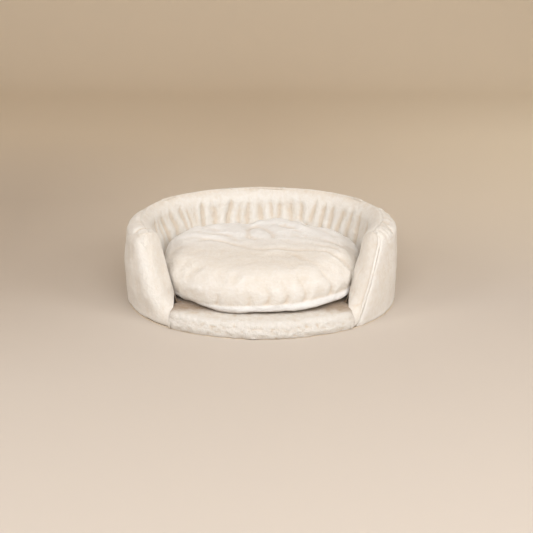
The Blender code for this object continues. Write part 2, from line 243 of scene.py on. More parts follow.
# ---- The wall's shape ----
def outline(turn, out=0.0):
    """Places in plan at these turns round the bed's oval, moved outwards, and the outward directions."""
    turn, out = np.broadcast_arrays(np.asarray(turn, float), np.asarray(out, float))
    away = np.stack((HALF_DEPTH * np.cos(turn), HALF_WIDTH * np.sin(turn)), -1)
    away /= np.linalg.norm(away, axis=-1, keepdims=True)
    spot = np.stack((HALF_WIDTH * np.cos(turn), HALF_DEPTH * np.sin(turn)), -1)
    return spot + away * out[..., None], away


def make_arch():
    """The wall's rounded cross-section, from its inner foot over the rim to its outer foot: distance along
    it, place outwards, height, and which way is out of the cloth."""
    rim_rise = BED_TOP - RIM_SEAM
    half = WALL_THICKNESS / 2
    squareness = 0.88
    up = np.linspace(FOOT, RIM_SEAM, 160)
    over = np.linspace(pi, 0, 120)[1:-1]
    swell = 0.0025 * np.sin(pi * (up - FOOT) / (RIM_SEAM - FOOT))
    tuck = 0.004 * np.clip(1 - (up - FOOT) / 0.010, 0, 1) ** 2
    rim_out = -half + half * np.sign(np.cos(over)) * np.abs(np.cos(over)) ** squareness
    rim_lift = RIM_SEAM + rim_rise * np.sin(over) ** squareness
    out = np.concatenate((-2 * half - 0.4 * swell, rim_out, (1.5 * swell - tuck)[::-1]))
    lift = np.concatenate((up, rim_lift, up[::-1]))
    step = np.hypot(np.gradient(out), np.gradient(lift))
    facing = np.stack((-np.gradient(lift), np.gradient(out)), -1) / step[:, None]
    spread = np.cumsum(np.hypot(np.diff(out, prepend=out[0]), np.diff(lift, prepend=lift[0])))
    return spread, out, lift, facing


ARCH_DISTANCE, ARCH_OUT, ARCH_LIFT, ARCH_FACING = make_arch()
ARCH_LENGTH = ARCH_DISTANCE[-1]
ARCH_MIDDLE = ARCH_LENGTH / 2
RIM_LINE = ARCH_MIDDLE - 0.006


def arch(distance, inset=0.0):
    """The cross-section at these distances along it, moved inwards by an inset, and which way it faces."""
    facing = [np.interp(distance, ARCH_DISTANCE, ARCH_FACING[:, axis]) for axis in range(2)]
    facing = np.stack(facing, -1)
    facing /= np.linalg.norm(facing, axis=-1, keepdims=True)
    out = np.interp(distance, ARCH_DISTANCE, ARCH_OUT) - inset * facing[..., 0]
    lift = np.interp(distance, ARCH_DISTANCE, ARCH_LIFT) - inset * facing[..., 1]
    return out, lift, facing


END_TURN = -np.arccos(END_FOOT_X / HALF_WIDTH)
END_SPOT = outline(END_TURN)[0]
END_BACK = np.array([-HALF_WIDTH * sin(END_TURN), HALF_DEPTH * cos(END_TURN)])
END_BACK /= np.linalg.norm(END_BACK)
END_NORMAL = np.array([-END_BACK[0] * cos(END_LEAN), -END_BACK[1] * cos(END_LEAN), sin(END_LEAN)])


def end_turn(out, lift):
    """The turn at which the wall's line at this place outwards and height meets the right leaning end."""
    low = np.full(np.shape(out), END_TURN - 0.5)
    high = np.full(np.shape(out), END_TURN + 1.1)
    for _ in range(36):
        middle = (low + high) / 2
        spot, _away = outline(middle, out)
        before = (spot - END_SPOT) @ END_NORMAL[:2] + lift * END_NORMAL[2] > 0
        low = np.where(before, middle, low)
        high = np.where(before, high, middle)
    return (low + high) / 2


ROUND_TURNS = np.linspace(-pi, 2 * pi, 3001)
ROUND_STEPS = np.diff(outline(ROUND_TURNS, -WALL_THICKNESS / 2)[0], axis=0, prepend=np.nan)
ROUND_LENGTHS = np.cumsum(np.nan_to_num(np.linalg.norm(ROUND_STEPS, axis=1)))


def round_length(turn):
    """Distance along the middle of the wall at a turn, from the middle of the back, towards the right."""
    middle_back = np.interp(pi / 2, ROUND_TURNS, ROUND_LENGTHS)
    return middle_back - np.interp(turn, ROUND_TURNS, ROUND_LENGTHS)


def round_turn(length):
    middle_back = np.interp(pi / 2, ROUND_TURNS, ROUND_LENGTHS)
    return np.interp(middle_back - length, ROUND_LENGTHS, ROUND_TURNS)


BACK_SLIMMING = 0.026
PAST_END = 0.0026
LEAF_LAP = 0.130
LEAF_EDGE = 0.095


def slimming(length, distance, lift, to_end):
    """How much further out the wall's inner side stands towards the rim, away from the wall's ends."""
    inner = 1 - ease(distance, ARCH_MIDDLE - 0.022, ARCH_MIDDLE + 0.016)
    return BACK_SLIMMING * inner * ease(lift, 0.040, BED_TOP - 0.010) * ease(to_end, 0.03, 0.24)


def wall_places(across, distance, depth, inset=0.0, end_inset=0.0):
    """Places on the wall's skin: across from its left end to its right end, at a distance along the arch,
    raised by depth(length, lift, plain places, distance to the end). Gives also the outward directions."""
    out, lift, facing = arch(distance, inset)
    right = round_length(end_turn(out, lift)) - end_inset
    length = right * (2 * across - 1)
    turn = round_turn(length)
    to_end = right - np.abs(length)
    flat, away = outline(turn, out + slimming(length, distance, lift, to_end))
    plain = np.column_stack((flat, lift))
    ahead = np.column_stack((away * facing[:, :1], facing[:, 1]))
    return plain + ahead * depth(length, lift, plain, to_end)[:, None], ahead


# Gathers in the wall's inner panel: where each valley stands along the wall at the rim and at the foot, from
# the middle of the back, how high it starts and ends, its depth and its half-width.
GATHER_VALLEYS = [
    (-0.268, -0.256, 0.172, 0.030, 0.0052, 0.0050),
    (-0.232, -0.236, 0.180, 0.030, 0.0040, 0.0045),
    (-0.206, -0.196, 0.178, 0.030, 0.0058, 0.0050),
    (-0.186, -0.190, 0.170, 0.060, 0.0042, 0.0040),
    (-0.140, -0.154, 0.184, 0.030, 0.0062, 0.0055),
    (-0.112, -0.108, 0.168, 0.100, 0.0026, 0.0060),
    (-0.074, -0.088, 0.184, 0.030, 0.0064, 0.0055),
    (-0.056, -0.052, 0.162, 0.080, 0.0024, 0.0070),
    (-0.030, -0.036, 0.178, 0.030, 0.0036, 0.0060),
    (0.002, 0.012, 0.166, 0.050, 0.0040, 0.0065),
    (0.030, 0.040, 0.180, 0.118, 0.0036, 0.0050),
    (0.052, 0.042, 0.172, 0.030, 0.0046, 0.0060),
    (0.078, 0.082, 0.176, 0.070, 0.0030, 0.0060),
    (0.096, 0.116, 0.182, 0.122, 0.0056, 0.0048),
    (0.132, 0.117, 0.178, 0.122, 0.0054, 0.0048),
    (0.117, 0.115, 0.126, 0.030, 0.0066, 0.0056),
    (0.156, 0.150, 0.172, 0.050, 0.0048, 0.0050),
    (0.172, 0.184, 0.182, 0.030, 0.0050, 0.0050),
    (0.206, 0.200, 0.168, 0.030, 0.0048, 0.0052),
    (0.236, 0.226, 0.178, 0.030, 0.0036, 0.0048),
    (0.266, 0.258, 0.174, 0.030, 0.0056, 0.0052),
]
SIDE_SEED = np.random.RandomState(4)
for side in (-1, 1):
    along = 0.268
    while along < 0.48:
        along += SIDE_SEED.uniform(0.022, 0.042)
        lean, start, end = SIDE_SEED.uniform((-0.016, 0.160, 0.020), (0.016, 0.182, 0.080))
        depth, width = SIDE_SEED.uniform((0.0026, 0.0045), (0.0056, 0.0070))
        GATHER_VALLEYS.append((side * along, side * along + lean, start, end, depth, width))


def gathers(length, lift, plain):
    """How far the gathered cloth stands out of the wall's inner face, from below 0 in its valleys."""
    wander = 0.0100 * rumple(plain, (0.060, 0.060, 0.055), 3) + 0.0016 * rumple(plain, (0.02, 0.02, 0.018), 9)
    uneven = 0.85 + 0.5 * rumple(plain, (0.040, 0.040, 0.050), 17)
    rise = 0.0024 + 0.0022 * rumple(plain, (0.045, 0.045, 0.070), 5)
    for rim, foot, start, end, depth, width in GATHER_VALLEYS:
        down = np.clip((start - lift) / (start - BASE_TOP), 0, 1)
        gap = np.abs(length - rim - (foot - rim) * down - wander)
        strength = ease(start - lift, -0.006, 0.040) * ease(lift - end, -0.010, 0.016) * uneven
        spread = 1.20 * width * (0.8 + 0.4 * down)
        rise -= 0.85 * depth * strength * bell(gap, spread, 1.5)
        rise += 0.40 * depth * strength * bell(gap - 2.2 * spread, 1.3 * spread)
    return np.where(rise > 0, rise, 0.0036 * np.tanh(rise / 0.0036))


def skin_depth(distance, length, lift, plain, to_end):
    """The wall's surface: gathers inside, lumps and hanging folds outside, fine crinkles on the rim near the
    ends, a shallow seam along the rim and a pinch at the end seams."""
    inner = 1 - ease(distance, ARCH_MIDDLE - 0.026, ARCH_MIDDLE + 0.010)
    high = ease(lift, 0.125, 0.168)
    away_from_end = ease(to_end, 0.0, 0.014)
    folds = (gathers(length, lift, plain) + 0.0010) * inner * (1 - 0.92 * ease(lift, 0.160, 0.187))
    folds += 0.0008 * rumple(plain, 0.020, 1) * inner + 0.0005 * rumple(plain, 0.008, 13)
    along = np.column_stack((length, lift, np.zeros_like(lift)))
    lumps = 0.0024 * rumple(plain, 0.060, 1) + 0.0010 * rumple(plain, 0.026, 2)
    lumps += 0.0024 * rumple(along, (0.034, 0.160, 1), 6) * (1 - high) * (1 - inner)
    crinkles = 0.0040 * (creased(along, (0.030, 0.015, 1), 4) - 0.55)
    crinkles += 0.0022 * (creased(along, (0.014, 0.010, 1), 8) - 0.55)
    on_rim = ease(lift, 0.152, 0.182)
    lumps += 1.2 * crinkles * on_rim * (1 - ease(to_end, 0.08, 0.30)) * (1 - 0.5 * inner)
    lumps += 0.0009 * rumple(along, (0.030, 0.030, 1), 12) * high * (1 - inner)
    # The outer panel lies calmer where the left leaf's edge comes out over it.
    by_leaf_edge = (length < 0) * (1 - inner) * (1 - high) * bell(to_end - LEAF_EDGE, 0.050)
    lumps *= 1 - 0.8 * by_leaf_edge
    seam = 0.0005 * bell(distance - RIM_LINE, 0.0030)
    pinch = 0.0032 * np.exp(-to_end / 0.0045)
    under_leaf = (length < 0) * (1 - inner) * (1 - ease(lift, 0.145, 0.178))
    pinch += 0.0100 * bell(to_end, 0.024) * under_leaf
    return folds * away_from_end + lumps * (1 - 0.6 * inner) - seam - pinch


def make_wall_panel(name, columns, rows, first, last, thickness):
    """One plush panel of the wall, between two distances along its arch."""

    def lay_out(across, along):
        distance = first + (last - first) * along

        def depth(length, lift, plain, to_end):
            return skin_depth(distance, length, lift, plain, to_end)

        return wall_places(across, distance, depth, end_inset=-PAST_END)

    piece = cloth_grid(name, columns, rows, lay_out)
    mark_relief(piece)
    spots = places(piece.data)
    nest = np.hypot(spots[:, 0] / (HALF_WIDTH - 0.03), spots[:, 1] / (HALF_DEPTH - 0.03))
    # Painted shade low on the wall's inner face, where it meets the base.
    mark(piece, "painted_shade", ease(0.085 - spots[:, 2], 0.0, 0.045) * (1 - ease(nest, 0.96, 1.0)))
    return line_cloth(piece, thickness)


def make_wall_core(name, inset, end_inset, fluff):
    """What fills the wall, as one closed piece set in from its skin, with flat feet and ends."""
    arch_share = 0.86

    def lay_out(across, along):
        around = np.clip(along / arch_share, 0, 1)
        distance = ARCH_LENGTH * around

        def depth(length, lift, plain, to_end):
            return fluff * (rumple(plain, 0.020, 61) - 1)

        spots, ahead = wall_places(across, distance, depth, inset, end_inset)
        under = np.clip((along - arch_share) / (1 - arch_share), 0, 1)[:, None]
        first = wall_places(across, np.zeros_like(along), depth, inset, end_inset)[0]
        spots += (first - spots) * under
        spots[:, 2] = np.maximum(spots[:, 2], FOOT + inset)
        ahead[under[:, 0] > 0] = (0, 0, -1)
        return spots, ahead

    piece = cloth_grid(name, 240, 56, lay_out)
    close_ends(piece)
    piece.data.shade_smooth()
    return piece


def close_ends(piece):
    """Closes a wall core's two open ends."""
    mesh = bmesh.new()
    mesh.from_mesh(piece.data)
    bmesh.ops.remove_doubles(mesh, verts=mesh.verts, dist=1e-5)
    for side in (-1, 1):
        ring = [edge for edge in mesh.edges if edge.is_boundary and edge.verts[0].co.x * side > 0]
        made = bmesh.ops.contextual_create(mesh, geom=ring)
        bmesh.ops.triangulate(mesh, faces=made["faces"])
    bmesh.ops.recalc_face_normals(mesh, faces=mesh.faces)
    mesh.to_mesh(piece.data)
    mesh.free()


# ---- The wall's ends ----
def make_wall_end(side, wrap, fullness, ridge):
    """A padded leaf of plush over a wall end: across its face from the inner edge, round the outer corner and
    along the outer face as far as wrap."""
    edge_depth = 0.0026
    rounding, lap_start, evenness = (0.016, 0.190, 0.4) if side > 0 else (0.024, 0.196, 1.1)
    roundness = 1 - 4 * min(wrap, 0.15)

    def lay_out(across, along):
        climb = 1 - (1 - along) ** 1.35
        inner_out, inner_lift, _ = arch(climb * ARCH_MIDDLE, edge_depth)
        outer_out, outer_lift, _ = arch(ARCH_LENGTH - climb * ARCH_MIDDLE, edge_depth)
        inner = np.column_stack((outline(end_turn(inner_out, inner_lift), inner_out)[0], inner_lift))
        lap = 1 - ease(inner_lift, 0.010, 0.066)
        lap_x = lap_start + 0.003 * np.clip(1 - inner_lift / 0.034, 0, 1) ** 1.6
        lap_y = -HALF_DEPTH * np.sqrt(1 - (lap_x / HALF_WIDTH) ** 2) - 0.0030
        inner[:, 0] += (lap_x - inner[:, 0]) * lap
        inner[:, 1] += (lap_y - inner[:, 1]) * lap

        corner_turn = end_turn(outer_out, outer_lift)
        corner = np.column_stack((outline(corner_turn, outer_out)[0], outer_lift))
        reach = 0.001 + wrap * (0.28 + 0.72 * np.sin(pi * climb ** 0.9) ** 0.8) * (1 - climb ** 6)
        face = np.maximum(np.linalg.norm(corner - inner, axis=1), 1e-5)
        total = face + reach

        def step_along(gone):
            on_face = inner + (corner - inner) * np.clip(gone / face, 0, 1)[:, None]
            past = np.clip(gone - face, 0, None)
            flat, away = outline(round_turn(round_length(corner_turn) - past), outer_out)
            return np.where(past[:, None] > 0, np.column_stack((flat, outer_lift)), on_face), away

        gone = across * total
        soft = np.minimum(rounding, np.minimum(gone, total - gone))
        spots = np.zeros((len(across), 3))
        for offset in np.linspace(-1, 1, 9):
            spots += step_along(gone + offset * soft)[0] / 9
        away = np.column_stack((step_along(gone)[1], np.zeros_like(across)))
        turned = ease(gone, face - 0.010, face + 0.024)[:, None]
        facing = END_NORMAL * (1 - turned) + away * turned
        facing /= np.linalg.norm(facing, axis=1, keepdims=True)

        bulk = 4 * across * (1 - across)
        lumps = 0.0022 * rumple(spots, 0.045, 21) + 0.0010 * rumple(spots, 0.020, 22)
        lumps += 0.0016 * (creased(spots, (0.02, 0.02, 0.10), 23) - 0.5)
        felled = ridge * bell(across - 0.90, 0.035) * ease(climb, 0.02, 0.12)
        felled -= 0.6 * ridge * bell(across - 0.955, 0.018)
        raised = fullness * face * bulk ** roundness + lumps * bulk ** evenness + felled
        spots += facing * raised[:, None]
        spots[:, 2] = np.maximum(spots[:, 2], FOOT)
        if side < 0:
            spots[:, 0] *= -1
            facing[:, 0] *= -1
        return spots, facing

    name = "wall_plush_end_right" if side > 0 else "wall_plush_end_left"
    piece = cloth_grid(name, 54 if side > 0 else 110, 150, lay_out)
    merge_corners(piece, 1e-6)
    mark_relief(piece)
    line_cloth(piece, THIN_PLUSH)
    return piece


# ---- The base ----
def make_base():
    """The base's plush cover: a softly crowned top, a rounded sill and a furry front face."""
    sill_rounding = 0.012
    end_x = 0.199

    def plan_reach(turn):
        """How far the base reaches from the middle in each direction."""
        heading = np.stack((np.cos(turn), np.sin(turn)), -1)
        low, high = np.zeros(len(turn)), np.full(len(turn), HALF_WIDTH)
        for _ in range(30):
            middle = (low + high) / 2
            spot = heading * middle[:, None]
            inside = (spot[:, 0] / HALF_WIDTH) ** 2 + (spot[:, 1] / HALF_DEPTH) ** 2 < 1
            inner_x, inner_y = HALF_WIDTH - WALL_THICKNESS, HALF_DEPTH - WALL_THICKNESS
            in_nest = (np.abs(spot[:, 0]) / inner_x) ** 2.1 + (np.abs(spot[:, 1]) / inner_y) ** 2.1 < 0.985
            in_front = (spot[:, 1] < -0.125) & (np.abs(spot[:, 0]) < end_x)
            keep = inside & (in_nest | in_front)
            low = np.where(keep, middle, low)
            high = np.where(keep, high, middle)
        return low

    def lay_out(across, along):
        turn = -pi / 2 + 2 * pi * (across - 0.5)
        reach = plan_reach(turn)
        share_top = 0.72
        on_top = along < share_top
        inward = 1 - np.clip(1 - along / share_top, 0, 1) ** 1.25
        radius = 0.30 * reach + (0.70 * reach - sill_rounding) * inward
        lift = BASE_TOP - 0.0005 + 0.002 * (1 - inward ** 2)
        round_share = np.clip((along - share_top) / (1 - share_top), 0, 1)
        bend = np.clip(round_share / 0.42, 0, 1) * pi / 2
        drop = np.clip((round_share - 0.42) / 0.58, 0, 1)
        face_height = BASE_TOP - sill_rounding - FOOT
        belly = 0.0030 * np.sin(pi * drop) - 0.0015 * drop ** 3
        radius += np.where(on_top, 0, sill_rounding * np.sin(bend) + belly)
        radius -= 0.002 * ease(np.abs(radius * np.cos(turn)), 0.186, 0.198) * inward
        lift -= np.where(on_top, 0, sill_rounding * (1 - np.cos(bend)) + face_height * drop)
        heading = np.stack((np.cos(turn), np.sin(turn)), -1)
        spots = np.column_stack((heading * radius[:, None], lift))
        facing = np.column_stack((heading * np.where(on_top, 0, np.sin(bend))[:, None], np.cos(bend)))
        facing[on_top] = (0, 0, 1)
        fuzz = 0.0016 * rumple(spots, 0.050, 31) + 0.0010 * rumple(spots, 0.014, 32)
        fuzz += 0.0017 * rumple(spots, (0.008, 0.008, 0.005), 33) * (1 - 0.65 * on_top)
        spots += facing * fuzz[:, None]
        spots[:, 2] = np.maximum(spots[:, 2], FOOT)
        return spots, facing

    piece = cloth_grid("base_plush", 560, 64, lay_out)
    merge_corners(piece, 1e-5)
    fill_middle(piece)
    mark_relief(piece)
    # Painted shade on the base's top: a contact shadow under the cushion and shade along the wall.
    mark(piece, "painted_shade", base_painted_shade(places(piece.data)))
    line_cloth(piece, PLUSH)
    return piece


def base_painted_shade(spots):
    """Where shade is painted on the base's top: a painted contact shadow under the cushion and painted shade
    in the corner along the wall.
    """
    nest = np.hypot(spots[:, 0] / (HALF_WIDTH - WALL_THICKNESS), spots[:, 1] / (HALF_DEPTH - WALL_THICKNESS))
    behind_sill = ease(spots[:, 1], -0.190, -0.150)
    by_wall = ease(nest, 0.84, 0.97) * behind_sill
    under = np.hypot(spots[:, 0] / CUSHION_HIGH.x, (spots[:, 1] - CUSHION_WIDEST_Y) / 0.205)
    return np.maximum(by_wall, 0.45 * (1 - ease(under, 0.94, 1.02)))


def fill_middle(piece):
    """Closes the round hole in the middle of the base's top."""
    mesh = bmesh.new()
    mesh.from_mesh(piece.data)
    ring = [edge for edge in mesh.edges if edge.is_boundary and edge.verts[0].co.z > BASE_TOP - 0.010]
    made = bmesh.ops.contextual_create(mesh, geom=ring)
    bmesh.ops.poke(mesh, faces=made["faces"])
    bmesh.ops.recalc_face_normals(mesh, faces=mesh.faces)
    if sum(face.normal.z * face.calc_area() for face in mesh.faces) < 0:
        bmesh.ops.reverse_faces(mesh, faces=mesh.faces)
    mesh.to_mesh(piece.data)
    mesh.free()


# ---- The cushion ----
def cushion_start(shrink):
    """The stuffed cushion's plain form: an oval pillow, flatter and squarer at its sides and back."""
    deselect_all()
    bpy.ops.mesh.primitive_uv_sphere_add(segments=128, ring_count=64, radius=1)
    made = bpy.context.active_object
    unit = places(made.data)
    turn = np.arctan2(unit[:, 1], unit[:, 0])
    flat = np.clip(np.hypot(unit[:, 0], unit[:, 1]), 0, 1)
    front = ease(-np.sin(turn), 0.25, 0.95)
    above = unit[:, 2] > 0
    squarer = 1 / (np.abs(np.cos(turn)) ** 2.3 + np.abs(np.sin(turn)) ** 2.3) ** (1 / 2.3)
    squarer = 1 + (squarer - 1) * ease(-np.sin(turn), 0.0, 0.3)
    reach = squarer * flat ** np.where(above, 0.22 + 0.38 * front, 0.13)
    rise = np.clip(np.abs(unit[:, 2]), 0, 1) ** np.where(above, 0.28 + 0.44 * front, 0.15)
    width = CUSHION_HIGH.x + 0.007 - shrink
    depth = np.where(
        unit[:, 1] < 0, CUSHION_WIDEST_Y - CUSHION_LOW.y + 0.018, CUSHION_HIGH.y - CUSHION_WIDEST_Y + 0.004
    )
    top = CUSHION_HIGH.z + 0.004 - SEAM_LEVEL - shrink
    bottom = SEAM_LEVEL - CUSHION_LOW.z - 0.3 * shrink
    spots = np.column_stack(
        (
            width * reach * np.cos(turn),
            CUSHION_WIDEST_Y + (depth - shrink) * reach * np.sin(turn),
            SEAM_LEVEL + np.where(above, top, -bottom) * rise,
        )
    )
    plump = 0.010 * ease(spots[:, 1], -0.06, 0.11)
    plump += 0.006 * bell(spots[:, 0] - 0.045, 0.055) * ease(spots[:, 1], 0.04, 0.13)
    spots[:, 2] += np.clip((spots[:, 2] - SEAM_LEVEL) / top, 0, 1) * plump
    lifted = 0.003 * ease(np.abs(spots[:, 0]), 0.07, 0.16) * ease(-spots[:, 1], 0.03, 0.12)
    spots[:, 2] += np.clip((SEAM_LEVEL - spots[:, 2]) / bottom, 0, 1) * lifted
    move_to(made.data, spots)
    return made


def remesh(piece, voxel):
    grid = piece.modifiers.new("even", "REMESH")
    grid.mode = "VOXEL"
    grid.voxel_size = voxel
    apply_modifiers(piece)


def blow_up(piece, cap, pressure=4.0, frames=20):
    """Fills a closed cloth with air in a cloth simulation, and lets no point move further than the cap."""
    scene = bpy.context.scene
    plain = places(piece.data)
    cloth = piece.modifiers.new("air", "CLOTH")
    cloth.settings.quality = 6
    cloth.settings.mass = 0.3
    cloth.settings.tension_stiffness = 12
    cloth.settings.compression_stiffness = 12
    cloth.settings.bending_stiffness = 0.35
    cloth.settings.use_pressure = True
    cloth.settings.uniform_pressure_force = pressure
    cloth.settings.effector_weights.gravity = 0
    cloth.point_cache.frame_start = 1
    cloth.point_cache.frame_end = frames
    for step in range(1, frames + 1):
        scene.frame_set(step)
    graph = bpy.context.evaluated_depsgraph_get()
    blown = places(piece.evaluated_get(graph).data)
    piece.modifiers.remove(cloth)
    scene.frame_set(1)
    move = blown - plain
    size = np.maximum(np.linalg.norm(move, axis=1, keepdims=True), 1e-9)
    move_to(piece.data, plain + move * np.minimum(1, cap / size))


def stroke(spots, route, width, depth):
    """How far a crease along a route of plan points stands in (or out, with a negative depth), tapering
    towards its ends."""
    route = np.asarray(route, float)
    steps = np.linalg.norm(np.diff(route, axis=0), axis=1)
    starts = np.concatenate(((0,), np.cumsum(steps)))
    nearest = np.full(len(spots), 9.0)
    way = np.zeros(len(spots))
    for first, second, step, start in zip(route, route[1:], steps, starts):
        heading = (second - first) / step
        share = np.clip((spots[:, : len(first)] - first) @ heading, 0, step)
        gap = np.linalg.norm(spots[:, : len(first)] - first - share[:, None] * heading, axis=1)
        closer = gap < nearest
        nearest = np.where(closer, gap, nearest)
        way = np.where(closer, (start + share) / starts[-1], way)
    taper = np.sin(pi * np.clip(way, 0.02, 0.98)) ** 0.5
    valley = bell(nearest, width, 1.7)
    shoulder = 0.42 * bell(nearest - 2.1 * width, 1.2 * width)
    return depth * taper * (shoulder - valley)


# Creases in the cushion's top, as plan points, each with its half-width and depth.
TOP_CREASES = [
    ([(-0.188, 0.006), (-0.150, 0.012), (-0.110, 0.002), (-0.070, -0.018), (-0.030, -0.038)], 0.0060, 0.0040),
    ([(-0.036, -0.040), (0.010, -0.050), (0.052, -0.040), (0.098, -0.050), (0.150, -0.066)], 0.0055, 0.0036),
    ([(0.130, -0.060), (0.165, -0.078), (0.200, -0.088)], 0.0050, 0.0030),
    ([(-0.022, 0.090), (-0.034, 0.060), (-0.030, 0.030), (-0.012, 0.004)], 0.0070, 0.0060),
    ([(-0.022, 0.094), (-0.060, 0.104), (-0.100, 0.098), (-0.140, 0.078)], 0.0075, 0.0042),
    ([(-0.018, 0.092), (0.010, 0.070), (0.026, 0.036), (0.024, 0.004)], 0.0065, 0.0046),
    ([(-0.014, 0.096), (0.030, 0.090), (0.070, 0.066), (0.098, 0.030)], 0.0070, 0.0040),
    ([(0.060, 0.110), (0.104, 0.092), (0.142, 0.060), (0.170, 0.024)], 0.0080, 0.0044),
    ([(0.090, 0.020), (0.128, 0.006), (0.168, -0.024), (0.196, -0.046)], 0.0060, 0.0036),
    ([(-0.196, 0.044), (-0.150, 0.050), (-0.104, 0.040), (-0.060, 0.016)], 0.0075, 0.0044),
    ([(-0.150, 0.098), (-0.120, 0.066), (-0.090, 0.050)], 0.0060, 0.0034),
    ([(-0.022, 0.092), (-0.030, 0.122), (-0.050, 0.146)], 0.0080, 0.0050),
    ([(0.030, 0.120), (0.050, 0.100), (0.060, 0.076)], 0.0050, 0.0028),
    ([(0.120, -0.020), (0.148, -0.036), (0.176, -0.064)], 0.0045, 0.0026),
]
# Broad shallow arcs in the sloping front, and puckers above its seam: turn from the right, length, depth.
FRONT_ARCS = [
    ([(-0.110, -0.112), (-0.070, -0.090), (-0.020, -0.084), (0.030, -0.092)], 0.0090, 0.0016),
    ([(-0.070, -0.142), (-0.036, -0.120), (0.004, -0.114), (0.040, -0.124)], 0.0080, 0.0016),
    ([(0.020, -0.086), (0.070, -0.080), (0.112, -0.096)], 0.0090, 0.0014),
    ([(-0.160, -0.070), (-0.120, -0.056), (-0.084, -0.062)], 0.0090, 0.0014),
]
PUCKERS = [
    (-117.0, 0.030, 0.0034),
    (-98.0, 0.026, 0.0032),
    (-87.0, 0.032, 0.0044),
    (-76.0, 0.040, 0.0044),
    (-65.0, 0.046, 0.0050),
    (-48.0, 0.056, 0.0052),
    (-29.0, 0.030, 0.0030),
    (-146.0, 0.030, 0.0022),
    (-14.0, 0.034, 0.0030),
    (4.0, 0.028, 0.0026),
    (18.0, 0.036, 0.0030),
    (33.0, 0.030, 0.0028),
    (146.0, 0.034, 0.0028),
    (160.0, 0.028, 0.0024),
    (175.0, 0.036, 0.0030),
    (190.0, 0.030, 0.0028),
    (45.0, 0.030, 0.0030),
    (58.0, 0.036, 0.0030),
    (122.0, 0.034, 0.0030),
    (133.0, 0.028, 0.0026),
]


def seam_height(turn):
    """Where the cushion's edge seam runs: it sags at the front, most of all at the left."""

    def near(heading, spread):
        return bell(turn_from(turn, heading), radians(spread))

    sag = 0.009 * ease(-np.sin(turn), 0.0, 0.6)
    return SEAM_LEVEL - sag - 0.010 * near(-133, 30) + 0.006 * near(-48, 22)


def shape_cushion(piece):
    """Adds what settles in use: the dip, creases, puckers along the seam, and the zip's channel."""
    mesh = piece.data
    spots = places(mesh)
    normals = outward(mesh)
    turn = np.arctan2(spots[:, 1] - CUSHION_WIDEST_Y, spots[:, 0])
    upper = ease(spots[:, 2], SEAM_LEVEL + 0.010, SEAM_LEVEL + 0.032)
    move = np.zeros(len(spots))

    wavering = spots + 0.0040 * rumple(spots, 0.03, 44)[:, None]
    from_dip = np.linalg.norm((spots[:, :2] - (-0.022, 0.092)) / (0.030, 0.024), axis=1)
    move -= 0.0120 * bell(from_dip, 1) * upper
    for route, width, depth in TOP_CREASES + FRONT_ARCS:
        move += stroke(wavering, route, 1.4 * width, 0.75 * depth) * upper
    move += (0.0026 * rumple(spots, 0.060, 41) + 0.0012 * rumple(spots, 0.028, 42)) * upper
    back = ease(spots[:, 1], -0.05, 0.02) * upper
    move += 0.0018 * rumple(spots, (0.040, 0.024, 0.04), 43) * back
    crests = 0.5 - creased(spots, (0.060, 0.026, 0.05), 45)
    crests += 0.6 * (0.5 - creased(spots, (0.026, 0.018, 0.03), 46))
    move += 0.0026 * crests * back + 0.0005 * rumple(spots, 0.008, 47)

    above = spots[:, 2] - seam_height(turn)
    seam_side = ease(-above, -0.055, 0.0)
    for heading, length, depth in PUCKERS:
        gap = turn_from(turn, heading, 0.02 * np.sin(above * 90))
        sideways = np.abs(gap) * np.hypot(spots[:, 0], spots[:, 1] - CUSHION_WIDEST_Y)
        run = np.clip(1 - above / (1.4 * length), 0, 1) ** 0.9 * ease(above, -0.010, 0.004)
        width = 0.0058 + 0.06 * np.clip(above, 0, 0.05)
        move -= depth * run * bell(sideways, width, 1.6)
        move += 0.25 * depth * run * bell(sideways - 2.4 * width, 1.5 * width)
    move -= 0.0013 * bell(above, 0.0042) * seam_side
    band = bell(above + 0.0120, 0.0090) * ease(-np.sin(turn), 0.1, 0.7)
    crumples = creased(spots, (0.034, 0.034, 0.011), 48) - 0.5
    move += (0.0042 + 0.0028 * rumple(spots, 0.045, 49) + 0.0034 * crumples) * band
    spots = spots + normals * move[:, None]

    from_centre = spots[:, :2] - (0, ZIP_CENTRE_Y)
    radius = np.linalg.norm(from_centre, axis=1)
    swing = np.abs(np.arctan2(from_centre[:, 0], from_centre[:, 1]))
    channel = 1 - ease(swing, ZIP_HALF_ANGLE + 0.004, ZIP_HALF_ANGLE + 0.040)
    channel *= 1 - ease(np.abs(spots[:, 2] - SEAM_LEVEL), ZIP_OPENING / 2 - 0.0005, ZIP_OPENING / 2 + 0.0030)
    deepest = ZIP_RADIUS - 0.0042
    pushed = np.minimum(radius, deepest) * channel + radius * (1 - channel)
    spots[:, :2] = (0, ZIP_CENTRE_Y) + from_centre * (pushed / np.maximum(radius, 1e-6))[:, None]
    spots[:, 2] = np.maximum(spots[:, 2], BASE_TOP + 0.0022)
    move_to(mesh, spots)
    below = ease(seam_height(turn) + 0.001 - spots[:, 2], 0.0, 0.005)
    # Painted sheen: whiter on the lower panel just below the seam at the front, where its pile lies the other
    # way, and on the top towards the back.
    mark(piece, "band", below * ease(-spots[:, 1], 0.0, 0.06))
    mark(piece, "painted_sheen_top", upper * ease(spots[:, 1], -0.08, 0.05))
    # Painted shade on the cushion's lowest part, next to the base.
    mark(piece, "painted_shade", 0.55 * ease(BASE_TOP + 0.014 - spots[:, 2], 0.0, 0.012))


def make_cushion():
    piece = cushion_start(shrink=0.0075)
    piece.name = "cushion_plush"
    piece.data.name = "cushion_plush"
    remesh(piece, voxel=0.0045)
    blow_up(piece, cap=0.0080)
    move_to(piece.data, smooth_places(piece.data, 3))
    finer = piece.modifiers.new("finer", "SUBSURF")
    finer.levels = finer.render_levels = 1
    apply_modifiers(piece)
    shape_cushion(piece)
    piece.data.shade_smooth()
    return piece


